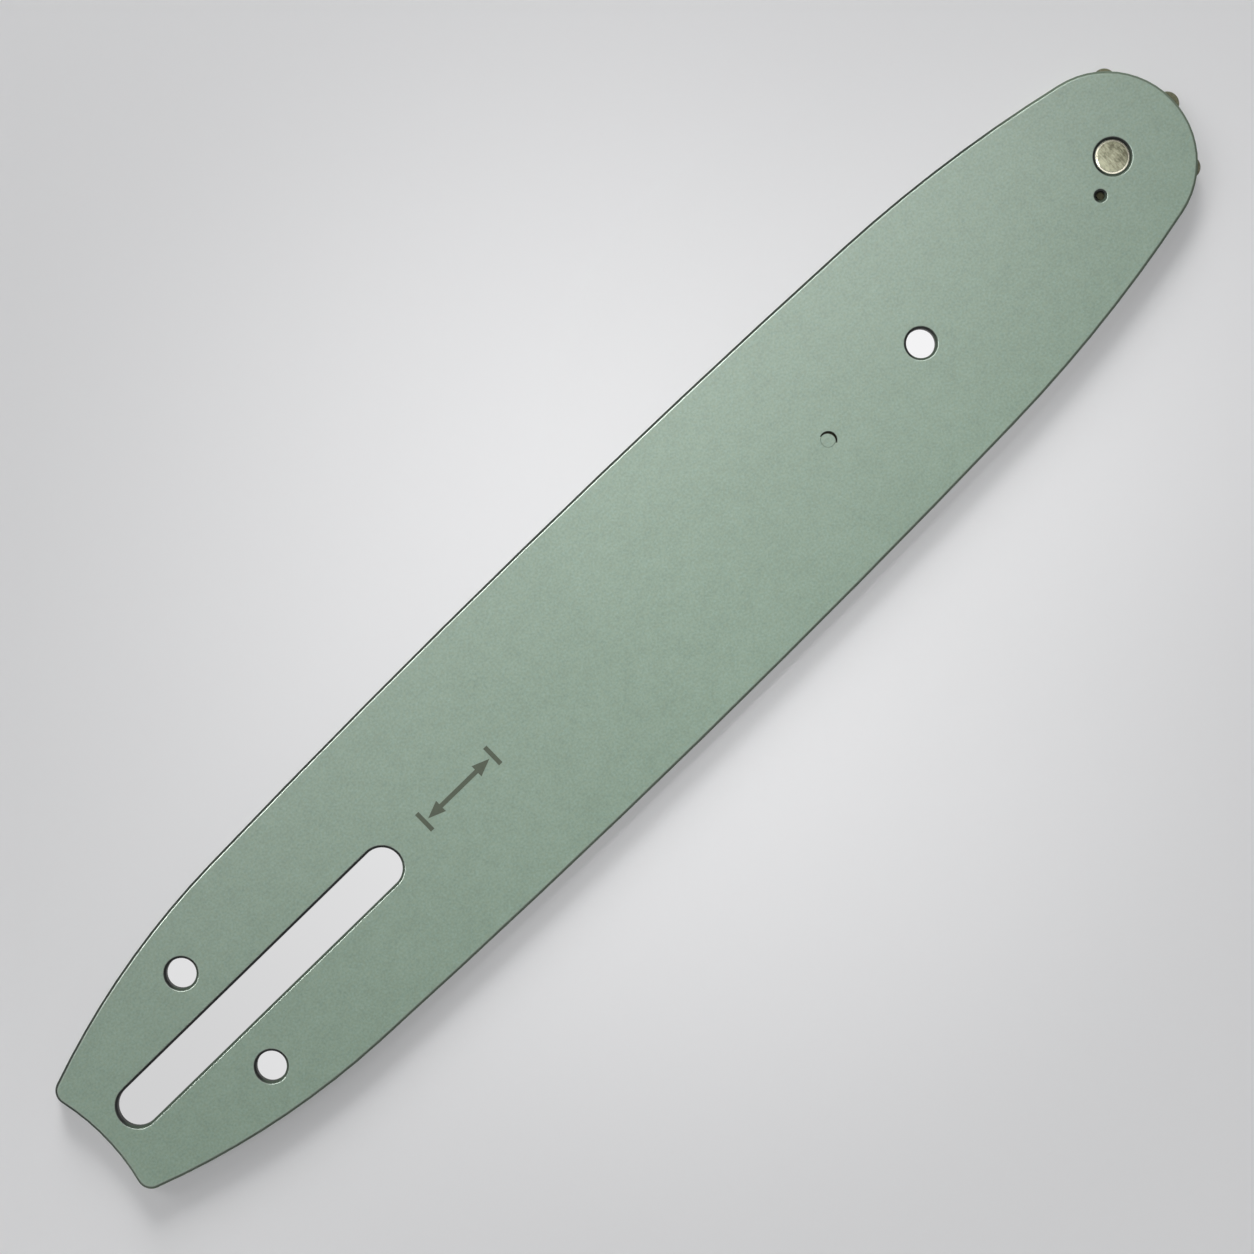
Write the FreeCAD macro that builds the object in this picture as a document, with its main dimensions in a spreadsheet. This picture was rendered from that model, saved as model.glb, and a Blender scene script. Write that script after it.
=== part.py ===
import FreeCAD
import Part
import Sketcher
import math
import os

# A laminated guide bar with a sprocket nose, for a small saw.
# Two identical pressed side plates lie back to back on a thinner core plate.
# The core is set back along both long edges and behind the nose, which leaves
# the groove for the chain and the pocket for the nose sprocket. The sprocket
# turns on a full set of loose rollers, which run on a race that one rivet
# clamps between the side plates.
#
# Frame: X runs from the tensioner holes to the nose, Y across the blade, Z up.
# The origin is midway between the tensioner holes, on the lower face.
# Lengths are in millimetres and angles in degrees.

SIZES = {
    # Laminations
    "plate_thickness": 1.4,
    "core_thickness": 1.3,
    "groove_depth": 5.6,
    "edge_chamfer": 0.38,
    # Blade outline
    "rivet_distance": 247.5,
    "blade_width": 52.48,
    "widest_distance": 106.6,
    "edge_fall": 4.07,
    "shoulder_radius": 303.0,
    "nose_set_back": 1.55,
    "taper_start": 19.1,
    "taper_radius": 171.0,
    # Mounting end
    "tail_web": 5.15,
    "tail_hollow_radius": 48.0,
    "ear_radius": 3.0,
    "slot_width": 8.3,
    "slot_length": 76.4,
    "slot_centre": 9.4,
    "tensioner_spacing": 25.9,
    "tensioner_hole_radius": 3.05,
    "oil_channel_width": 2.0,
    "oil_channel_turn": 80.0,
    # Tip guard hole and the lanced tab near it, placed from the rivet
    "guard_hole_distance": 53.5,
    "guard_hole_radius": 2.95,
    "tab_distance": 80.3,
    "tab_offset": 0.95,
    "tab_slit_radius": 1.81,
    "tab_slit_width": 0.55,
    "tab_slit_end_width": 0.2,
    "tab_slit_span": 175.0,
    "tab_slit_turn": 25.0,
    # Grease hole over the rollers, placed from the rivet
    "grease_hole_distance": 8.2,
    "grease_hole_angle": 28.5,
    "grease_hole_radius": 0.9,
    # Nose rivet, and the seat sunk for its heads
    "rivet_radius": 3.2,
    "rivet_head_radius": 3.46,
    "rivet_clearance": 0.05,
    "rivet_bevel": 0.38,
    "rivet_bevel_depth": 0.16,
    "rivet_seat_radius": 3.54,
    "rivet_seat_depth": 0.7,
    # Nose bearing and sprocket
    "race_radius": 6.2,
    "roller_radius": 1.35,
    "roller_clearance": 0.05,
    "side_clearance": 0.05,
    "tooth_count": 7,
    "sprocket_radius": 17.9,
    "sprocket_root_radius": 11.8,
    "tooth_tip_radius": 2.4,
    "tooth_show": 1.2,
    "sprocket_clearance": 0.8,
    "core_corner_radius": 0.6,
}

# How a sketch numbers its axes, and the points of a curve
X_AXIS = -1
Y_AXIS = -2
START, END, CENTRE = range(1, 4)
TINY = 1e-6
Z = FreeCAD.Vector(0, 0, 1)


class Size:
    """A number together with the spreadsheet formula that gives it."""

    def __init__(self, value, text):
        self.value = value
        self.text = text

    def __float__(self):
        return float(self.value)

    def join(self, other, sign, value):
        text = other.text if isinstance(other, Size) else str(other)
        return Size(value, f"({self.text} {sign} {text})")

    def __add__(self, other):
        return self.join(other, "+", float(self) + float(other))

    def __sub__(self, other):
        return self.join(other, "-", float(self) - float(other))

    def __mul__(self, other):
        return self.join(other, "*", float(self) * float(other))

    def __truediv__(self, other):
        return self.join(other, "/", float(self) / float(other))


def plain(value):
    """A number that no size drives."""
    return Size(value, str(value))


def make_sheet(doc):
    """Put every driving size in the spreadsheet and return them by name."""
    sheet = doc.addObject("Spreadsheet::Sheet", "Sizes")
    for row, (name, value) in enumerate(SIZES.items(), start=1):
        sheet.set(f"A{row}", name)
        sheet.set(f"B{row}", str(value))
        sheet.setAlias(f"B{row}", name)
    doc.recompute()
    return {name: Size(sheet.get(name), f"Sizes.{name}") for name in SIZES}


def derive(size):
    """Add the sizes that follow from the driving ones."""
    half_width = size["blade_width"] / 2
    nose_reach = size["sprocket_radius"] - size["tooth_show"]
    run = size["rivet_distance"] - size["widest_distance"]
    fall = size["edge_fall"]
    size["half_width"] = half_width
    size["nose_radius"] = nose_reach + size["nose_set_back"]
    size["nose_centre"] = size["rivet_distance"] - size["nose_set_back"]
    size["edge_radius"] = (run * run + fall * fall) / (fall * 2)
    size["tail_reach"] = size["slot_length"] / 2 - size["slot_centre"] + size["tail_web"]
    size["bar_thickness"] = size["plate_thickness"] * 2 + size["core_thickness"]
    size["rivet_hole_radius"] = size["rivet_radius"] + size["rivet_clearance"]
    size["roller_pitch_radius"] = size["race_radius"] + size["roller_clearance"] + size["roller_radius"]
    size["bore_radius"] = size["roller_pitch_radius"] + size["roller_radius"] + size["roller_clearance"]
    size["sprocket_thickness"] = size["core_thickness"] - size["side_clearance"] * 2
    size["sprocket_base"] = size["plate_thickness"] + size["side_clearance"]
    size["front_radius"] = size["sprocket_radius"] + size["sprocket_clearance"]


def circle_meet(centre_a, radius_a, centre_b, radius_b, side):
    """Where two circles cross, on the left (1) or right (-1) of the line from a to b."""
    line = centre_b - centre_a
    gap = line.Length
    along = (radius_a**2 - radius_b**2 + gap**2) / (2 * gap)
    across = math.sqrt(radius_a**2 - along**2)
    unit = line / gap
    left = FreeCAD.Vector(-unit.y, unit.x, 0)
    return centre_a + unit * along + left * (side * across)


def touch(centre, radius, other):
    """The point of a circle that lies on the line from another centre through its own."""
    way = centre - other
    return centre + way * (radius / way.Length)


def new_body(doc, name):
    body = doc.addObject("PartDesign::Body", name)
    body.Label = name
    return body


def new_sketch(body, name, plane="XY_Plane"):
    """A sketch on one of the body's own origin planes."""
    sketch = body.newObject("Sketcher::SketchObject", name)
    support = next(item for item in body.Origin.OriginFeatures if item.Role == plane)
    sketch.AttachmentSupport = [(support, "")]
    sketch.MapMode = "FlatFace"
    return sketch


def place_sketch(sketch, along, across, turn):
    """Shift a sketch in its plane and turn it."""
    sketch.AttachmentOffset = FreeCAD.Placement(FreeCAD.Vector(), FreeCAD.Rotation(Z, 1))
    sketch.setExpression("AttachmentOffset.Base.x", along.text)
    sketch.setExpression("AttachmentOffset.Base.y", across.text)
    sketch.setExpression("AttachmentOffset.Rotation.Angle", turn.text)


def set_place(item, along, across, up):
    """Move a sub-part away from the origin."""
    for letter, value in (("x", along), ("y", across), ("z", up)):
        item.setExpression(f"Placement.Base.{letter}", value.text)


def drive(sketch, name, size, kind, *where):
    """Add a dimension that follows a size."""
    index = sketch.addConstraint(Sketcher.Constraint(kind, *where, float(size)))
    sketch.renameConstraint(index, name)
    sketch.setExpression(f"Constraints.{name}", size.text)


def tie(sketch, kind, *where):
    """Add a constraint that has no value."""
    sketch.addConstraint(Sketcher.Constraint(kind, *where))


def add_circle(sketch, name, along, across, radius):
    """A circle held by its radius and by where its centre is."""
    centre = FreeCAD.Vector(float(along), float(across), 0)
    circle = sketch.addGeometry(Part.Circle(centre, Z, float(radius)), False)
    drive(sketch, f"{name}_radius", radius, "Radius", circle)
    drive(sketch, f"{name}_along", along, "DistanceX", X_AXIS, START, circle, CENTRE)
    if abs(centre.y) > 0:
        drive(sketch, f"{name}_across", across, "DistanceY", X_AXIS, START, circle, CENTRE)
    else:
        tie(sketch, "PointOnObject", circle, CENTRE, X_AXIS)
    return circle


def aim_rays(sketch, turn, inward, outward):
    """Aim two lines at the origin, the first as far above the X axis as the second is below."""
    for line in (inward, outward):
        tie(sketch, "PointOnObject", X_AXIS, START, line)
    drive(sketch, "turn_above", turn, "Angle", X_AXIS, START, inward, END)
    drive(sketch, "turn_below", turn, "Angle", outward, START, X_AXIS, START)


class ArcLoop:
    """A closed outline of arcs, each of which runs smoothly into the next."""

    def __init__(self, sketch):
        self.sketch = sketch
        self.links = []

    def add(self, centre, radius, first, last, hollow=False):
        """Add the next arc. Solid lies inside its circle, or outside where it is hollow."""
        start, end = (last, first) if hollow else (first, last)
        angles = [math.atan2(point.y - centre.y, point.x - centre.x) for point in (start, end)]
        circle = Part.Circle(centre, Z, radius)
        arc = self.sketch.addGeometry(Part.ArcOfCircle(circle, *angles), False)
        self.links.append((arc, END if hollow else START, START if hollow else END))
        return arc

    def close(self):
        for (arc, _, leave), (following, enter, _) in zip(self.links, self.links[1:] + self.links[:1]):
            tie(self.sketch, "Tangent", arc, leave, following, enter)


def mirrored(point):
    return FreeCAD.Vector(point.x, -point.y, 0)


def blade_arcs(size, inset):
    """Centres and radii of the blade's edge arcs above the axis, moved in by the inset."""
    edge = FreeCAD.Vector(float(size["widest_distance"]), float(size["half_width"] - size["edge_radius"]), 0)
    nose = FreeCAD.Vector(float(size["nose_centre"]), 0, 0)
    edge_radius, taper_radius = float(size["edge_radius"]), float(size["taper_radius"])
    shoulder_radius, nose_radius = float(size["shoulder_radius"]), float(size["nose_radius"])
    shoulder = circle_meet(edge, edge_radius - shoulder_radius, nose, shoulder_radius - nose_radius, 1)
    start = float(size["taper_start"])
    rise = math.sqrt((edge_radius - inset) ** 2 - (start - edge.x) ** 2)
    taper_from = FreeCAD.Vector(start, edge.y + rise, 0)
    taper = edge + (taper_from - edge) * ((edge_radius - taper_radius) / (edge_radius - inset))
    hollow = FreeCAD.Vector(-float(size["tail_reach"] + size["tail_hollow_radius"]), 0, 0)
    return {
        "edge": (edge, edge_radius - inset),
        "nose": (nose, nose_radius - inset),
        "shoulder": (shoulder, shoulder_radius - inset),
        "taper": (taper, taper_radius - inset),
        "hollow": (hollow, float(size["tail_hollow_radius"])),
        "taper_from": taper_from,
    }


def blade_outline(sketch, size, inset, front_radius=None):
    """Draw the blade's closed outline.

    The side plates have no inset and a round nose. The core is moved in by the
    groove depth, and its front is a hollow arc that stands clear of the sprocket.
    """
    arcs = blade_arcs(size, float(inset))
    edge, edge_radius = arcs["edge"]
    nose, nose_radius = arcs["nose"]
    shoulder, shoulder_radius = arcs["shoulder"]
    taper, taper_radius = arcs["taper"]
    hollow, hollow_radius = arcs["hollow"]
    taper_from = arcs["taper_from"]
    tail_corner = size["core_corner_radius"] if front_radius else size["ear_radius"]
    corner_radius = float(tail_corner)
    ear = circle_meet(hollow, hollow_radius + corner_radius, taper, taper_radius - corner_radius, 1)
    if front_radius:
        rivet = FreeCAD.Vector(float(size["rivet_distance"]), 0, 0)
        front = float(front_radius)
        horn = circle_meet(shoulder, shoulder_radius - corner_radius, rivet, front + corner_radius, 1)
        shoulder_from = touch(horn, corner_radius, shoulder)
        horn_from = horn + (rivet - horn) * (corner_radius / (rivet - horn).Length)
    else:
        shoulder_from = touch(nose, nose_radius, shoulder)
    edge_from = touch(shoulder, shoulder_radius, edge)
    ear_from = touch(ear, corner_radius, taper)
    hollow_from = ear + (hollow - ear) * (corner_radius / (hollow - ear).Length)

    loop = ArcLoop(sketch)
    upper = [
        ("shoulder", shoulder, shoulder_radius, shoulder_from, edge_from),
        ("edge", edge, edge_radius, edge_from, taper_from),
        ("taper", taper, taper_radius, taper_from, ear_from),
        ("ear", ear, corner_radius, ear_from, hollow_from),
    ]
    if front_radius:
        upper.insert(0, ("horn", horn, corner_radius, horn_from, shoulder_from))
        ahead = loop.add(rivet, front, mirrored(horn_from), horn_from, hollow=True)
    else:
        ahead = loop.add(nose, nose_radius, mirrored(shoulder_from), shoulder_from)
    above = {name: loop.add(*arc) for name, *arc in upper}
    tail = loop.add(hollow, hollow_radius, hollow_from, mirrored(hollow_from), hollow=True)
    below = {}
    for name, centre, radius, first, last in reversed(upper):
        below[name] = loop.add(mirrored(centre), radius, mirrored(last), mirrored(first))
    loop.close()

    for name in above:
        tie(sketch, "Equal", above[name], below[name])
    drive(sketch, "edge_radius", size["edge_radius"] - inset, "Radius", above["edge"])
    drive(sketch, "shoulder_radius", size["shoulder_radius"] - inset, "Radius", above["shoulder"])
    drive(sketch, "taper_radius", size["taper_radius"] - inset, "Radius", above["taper"])
    drive(sketch, "ear_radius", tail_corner, "Radius", above["ear"])
    drive(sketch, "hollow_radius", size["tail_hollow_radius"], "Radius", tail)
    drive(sketch, "widest", size["widest_distance"], "DistanceX", X_AXIS, START, above["edge"], CENTRE)
    drop = size["edge_radius"] - size["half_width"]
    drive(sketch, "edge_drop", drop, "DistanceY", above["edge"], CENTRE, X_AXIS, START)
    tie(sketch, "Symmetric", above["edge"], CENTRE, below["edge"], CENTRE, X_AXIS)
    drive(sketch, "taper_above", size["taper_start"], "DistanceX", X_AXIS, START, above["taper"], START)
    drive(sketch, "taper_below", size["taper_start"], "DistanceX", X_AXIS, START, below["taper"], END)
    tail_centre = size["tail_reach"] + size["tail_hollow_radius"]
    drive(sketch, "tail_centre", tail_centre, "DistanceX", tail, CENTRE, X_AXIS, START)
    tie(sketch, "PointOnObject", tail, CENTRE, X_AXIS)
    tie(sketch, "PointOnObject", ahead, CENTRE, X_AXIS)
    if front_radius:
        drive(sketch, "front_radius", front_radius, "Radius", ahead)
        drive(sketch, "front_centre", size["rivet_distance"], "DistanceX", X_AXIS, START, ahead, CENTRE)
        drive(sketch, "horn_radius", tail_corner, "Radius", above["horn"])
        guide = sketch.addGeometry(Part.Circle(nose, Z, nose_radius), True)
        drive(sketch, "guide_radius", size["nose_radius"] - inset, "Radius", guide)
        drive(sketch, "guide_centre", size["nose_centre"], "DistanceX", X_AXIS, START, guide, CENTRE)
        tie(sketch, "PointOnObject", guide, CENTRE, X_AXIS)
        tie(sketch, "Tangent", guide, above["shoulder"])
        tie(sketch, "Tangent", guide, below["shoulder"])
    else:
        drive(sketch, "nose_radius", size["nose_radius"], "Radius", ahead)
        drive(sketch, "nose_centre", size["nose_centre"], "DistanceX", X_AXIS, START, ahead, CENTRE)


def add_slot(sketch, size):
    """The long slot that the two bar studs of the saw pass through."""
    radius = float(size["slot_width"]) / 2
    middle = float(size["slot_centre"])
    half = float(size["slot_length"]) / 2 - radius
    rear, front = FreeCAD.Vector(middle - half, 0, 0), FreeCAD.Vector(middle + half, 0, 0)
    up = FreeCAD.Vector(0, radius, 0)
    quarter = math.pi / 2
    ends = [
        sketch.addGeometry(Part.ArcOfCircle(Part.Circle(rear, Z, radius), quarter, 3 * quarter), False),
        sketch.addGeometry(Part.ArcOfCircle(Part.Circle(front, Z, radius), -quarter, quarter), False),
    ]
    lower = sketch.addGeometry(Part.LineSegment(rear - up, front - up), False)
    upper = sketch.addGeometry(Part.LineSegment(front + up, rear + up), False)
    tie(sketch, "Tangent", ends[0], END, lower, START)
    tie(sketch, "Tangent", lower, END, ends[1], START)
    tie(sketch, "Tangent", ends[1], END, upper, START)
    tie(sketch, "Tangent", upper, END, ends[0], START)
    tie(sketch, "Equal", *ends)
    for end in ends:
        tie(sketch, "PointOnObject", end, CENTRE, X_AXIS)
    reach = (size["slot_length"] - size["slot_width"]) / 2
    drive(sketch, "slot_radius", size["slot_width"] / 2, "Radius", ends[0])
    drive(sketch, "slot_run", reach * 2, "DistanceX", ends[0], CENTRE, ends[1], CENTRE)
    drive(sketch, "slot_front", size["slot_centre"] + reach, "DistanceX", X_AXIS, START, ends[1], CENTRE)


def add_shared_holes(sketch, size):
    """The slot and the round holes that go through all three laminations."""
    add_slot(sketch, size)
    half_spacing = size["tensioner_spacing"] / 2
    guard = size["rivet_distance"] - size["guard_hole_distance"]
    for name, across in (("upper", half_spacing), ("lower", half_spacing * -1)):
        radius = size["tensioner_hole_radius"]
        centre = FreeCAD.Vector(0, float(across), 0)
        hole = sketch.addGeometry(Part.Circle(centre, Z, float(radius)), False)
        drive(sketch, f"tensioner_{name}", radius, "Radius", hole)
        drive(sketch, f"tensioner_{name}_across", across, "DistanceY", X_AXIS, START, hole, CENTRE)
        tie(sketch, "PointOnObject", hole, CENTRE, Y_AXIS)
    add_circle(sketch, "guard_hole", guard, 0, size["guard_hole_radius"])


def pad(body, sketch, thickness):
    feature = body.newObject("PartDesign::Pad", f"{sketch.Name}_pad")
    feature.Profile = sketch
    feature.setExpression("Length", thickness.text)
    body.Document.recompute()
    return feature


def pierce(body, sketch):
    """Cut the sketch through the whole thickness, upwards from its plane."""
    before = body.Shape.Volume
    feature = body.newObject("PartDesign::Pocket", f"{sketch.Name}_cut")
    feature.Profile = sketch
    feature.Type = "ThroughAll"
    feature.Reversed = True
    body.Document.recompute()
    if body.Shape.Volume >= before:
        raise RuntimeError(f"{feature.Name} removes nothing")
    return feature


def top_face(shape):
    """Name of the flat face that looks up at the top of a shape."""
    for number, face in enumerate(shape.Faces, start=1):
        level = abs(face.CenterOfMass.z - shape.BoundBox.ZMax) < TINY
        if level and isinstance(face.Surface, Part.Plane):
            return f"Face{number}"
    raise RuntimeError("no flat top face")


def add_tab_slit(sketch, size):
    """The slit round the nose side of the lanced tab: a crescent, widest in its middle."""
    outer = float(size["tab_slit_radius"])
    middle = outer - float(size["tab_slit_width"])
    end = outer - float(size["tab_slit_end_width"])
    swing = math.radians(float(size["tab_slit_span"]) / 2)
    way = FreeCAD.Vector(math.cos(swing), math.sin(swing), 0)
    # The inner arc runs through the slit's middle and both its ends.
    back = (end**2 - middle**2) / (2 * (middle - end * way.x))
    centre = FreeCAD.Vector(-back, 0, 0)
    spread = math.atan2(end * way.y, end * way.x + back)

    circle = Part.Circle(FreeCAD.Vector(), Z, outer)
    outside = sketch.addGeometry(Part.ArcOfCircle(circle, -swing, swing), False)
    circle = Part.Circle(centre, Z, middle + back)
    inside = sketch.addGeometry(Part.ArcOfCircle(circle, -spread, spread), False)
    above = sketch.addGeometry(Part.LineSegment(way * outer, way * end), False)
    below = sketch.addGeometry(Part.LineSegment(mirrored(way) * end, mirrored(way) * outer), False)
    tie(sketch, "Coincident", outside, END, above, START)
    tie(sketch, "Coincident", above, END, inside, END)
    tie(sketch, "Coincident", inside, START, below, START)
    tie(sketch, "Coincident", below, END, outside, START)
    tie(sketch, "Coincident", outside, CENTRE, X_AXIS, START)
    tie(sketch, "PointOnObject", inside, CENTRE, X_AXIS)
    drive(sketch, "slit_radius", size["tab_slit_radius"], "Radius", outside)
    end_reach = size["tab_slit_radius"] - size["tab_slit_end_width"]
    drive(sketch, "end_reach", end_reach, "Distance", X_AXIS, START, above, END)
    crest = sketch.addGeometry(Part.Point(FreeCAD.Vector(middle, 0, 0)), True)
    tie(sketch, "PointOnObject", crest, START, X_AXIS)
    tie(sketch, "PointOnObject", crest, START, inside)
    reach = size["tab_slit_radius"] - size["tab_slit_width"]
    drive(sketch, "middle_reach", reach, "DistanceX", X_AXIS, START, crest, START)
    half_span = size["tab_slit_span"] / 2
    aim_rays(sketch, Size(swing, half_span.text), above, below)


def make_side_plate(doc, size, name):
    """One pressed side plate, with its outer face up and its inner face at its base."""
    body = new_body(doc, name)
    outline = new_sketch(body, f"{name}_outline")
    blade_outline(outline, size, plain(0))
    pad(body, outline, size["plate_thickness"])

    holes = new_sketch(body, f"{name}_holes")
    add_shared_holes(holes, size)
    add_circle(holes, "rivet_hole", size["rivet_distance"], 0, size["rivet_hole_radius"])
    angle = math.radians(float(size["grease_hole_angle"]))
    reach, lean = size["grease_hole_distance"], size["grease_hole_angle"]
    back = Size(float(reach) * math.cos(angle), f"{reach.text} * cos({lean.text})")
    side = Size(-float(reach) * math.sin(angle), f"-{reach.text} * sin({lean.text})")
    add_circle(holes, "grease_hole", size["rivet_distance"] - back, side, size["grease_hole_radius"])
    pierce(body, holes)

    seat = new_sketch(body, f"{name}_rivet_seat")
    seat.setExpression("AttachmentOffset.Base.z", (size["plate_thickness"] - size["rivet_seat_depth"]).text)
    add_circle(seat, "rivet_seat", size["rivet_distance"], 0, size["rivet_seat_radius"])
    sunk = pierce(body, seat)

    eased = body.newObject("PartDesign::Chamfer", f"{name}_eased_edges")
    eased.Base = (sunk, [top_face(sunk.Shape)])
    eased.setExpression("Size", size["edge_chamfer"].text)
    doc.recompute()

    slit = new_sketch(body, f"{name}_slit")
    place_sketch(
        slit, size["rivet_distance"] - size["tab_distance"], size["tab_offset"] * -1, size["tab_slit_turn"]
    )
    add_tab_slit(slit, size)
    pierce(body, slit)
    return body


def add_channel(sketch, length, width):
    """A rectangle that starts at the sketch's origin and is centred on its X axis."""
    run, half = float(length), float(width) / 2
    corners = [(0, -half), (run, -half), (run, half), (0, half)]
    points = [FreeCAD.Vector(x, y, 0) for x, y in corners]
    sides = [
        sketch.addGeometry(Part.LineSegment(point, following), False)
        for point, following in zip(points, points[1:] + points[:1])
    ]
    for side, following in zip(sides, sides[1:] + sides[:1]):
        tie(sketch, "Coincident", side, END, following, START)
    for side, kind in zip(sides, ("Horizontal", "Vertical", "Horizontal")):
        tie(sketch, kind, side)
    tie(sketch, "PointOnObject", sides[0], START, Y_AXIS)
    tie(sketch, "Symmetric", sides[0], START, sides[3], START, X_AXIS)
    drive(sketch, "channel_length", length, "DistanceX", sides[0], START, sides[0], END)
    drive(sketch, "channel_width", width, "DistanceY", sides[1], START, sides[1], END)


def make_core_plate(doc, size):
    """The core, with a channel from each tensioner hole that leads oil to the groove."""
    body = new_body(doc, "core_plate")
    outline = new_sketch(body, "core_outline")
    blade_outline(outline, size, size["groove_depth"], size["front_radius"])
    pad(body, outline, size["core_thickness"])
    holes = new_sketch(body, "core_holes")
    add_shared_holes(holes, size)
    pierce(body, holes)

    channel = new_sketch(body, "oil_channel")
    hole_across = size["tensioner_spacing"] / 2
    place_sketch(channel, plain(0), hole_across, size["oil_channel_turn"])
    add_channel(channel, size["half_width"] - hole_across, size["oil_channel_width"])
    cut = pierce(body, channel)
    both = body.newObject("PartDesign::Mirrored", "oil_channels")
    both.Originals = [cut]
    both.MirrorPlane = (next(item for item in body.Origin.OriginFeatures if item.Role == "XZ_Plane"), [""])
    body.Tip = both
    set_place(body, plain(0), plain(0), size["plate_thickness"])
    return body


def draw_profile(sketch, points):
    """A closed outline of straight lines through points that are given as sizes."""
    places = [FreeCAD.Vector(float(x), float(y), 0) for x, y in points]
    lines = [
        sketch.addGeometry(Part.LineSegment(place, following), False)
        for place, following in zip(places, places[1:] + places[:1])
    ]
    for line, following in zip(lines, lines[1:] + lines[:1]):
        tie(sketch, "Coincident", line, END, following, START)
    for number, (line, (x, y)) in enumerate(zip(lines, points)):
        if float(x) == 0:
            tie(sketch, "PointOnObject", line, START, Y_AXIS)
        else:
            drive(sketch, f"out_{number}", x, "DistanceX", X_AXIS, START, line, START)
        if float(y) == 0:
            tie(sketch, "PointOnObject", line, START, X_AXIS)
        else:
            drive(sketch, f"up_{number}", y, "DistanceY", X_AXIS, START, line, START)


def make_rivet(doc, size):
    """The nose rivet, whose two staked heads fill the seats of the side plates."""
    body = new_body(doc, "nose_rivet")
    profile = new_sketch(body, "rivet_profile", "XZ_Plane")
    top, seat = size["bar_thickness"], size["rivet_seat_depth"]
    shank, head = size["rivet_radius"], size["rivet_head_radius"]
    face, bevel = head - size["rivet_bevel"], size["rivet_bevel_depth"]
    points = [
        (plain(0), plain(0)),
        (face, plain(0)),
        (head, bevel),
        (head, seat),
        (shank, seat),
        (shank, top - seat),
        (head, top - seat),
        (head, top - bevel),
        (face, top),
        (plain(0), top),
    ]
    draw_profile(profile, points)
    turned = body.newObject("PartDesign::Revolution", "rivet_turning")
    turned.Profile = profile
    turned.ReferenceAxis = (profile, ["V_Axis"])
    turned.Angle = 360
    set_place(body, size["rivet_distance"], plain(0), plain(0))
    return body


def make_race(doc, size):
    """The inner race, a ring that the rivet clamps between the side plates."""
    body = new_body(doc, "bearing_race")
    ring = new_sketch(body, "race_ring")
    for name, radius in (("outer", size["race_radius"]), ("bore", size["rivet_hole_radius"])):
        circle = ring.addGeometry(Part.Circle(FreeCAD.Vector(), Z, float(radius)), False)
        tie(ring, "Coincident", circle, CENTRE, X_AXIS, START)
        drive(ring, f"{name}_radius", radius, "Radius", circle)
    pad(body, ring, size["core_thickness"])
    set_place(body, size["rivet_distance"], plain(0), size["plate_thickness"])
    return body


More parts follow.
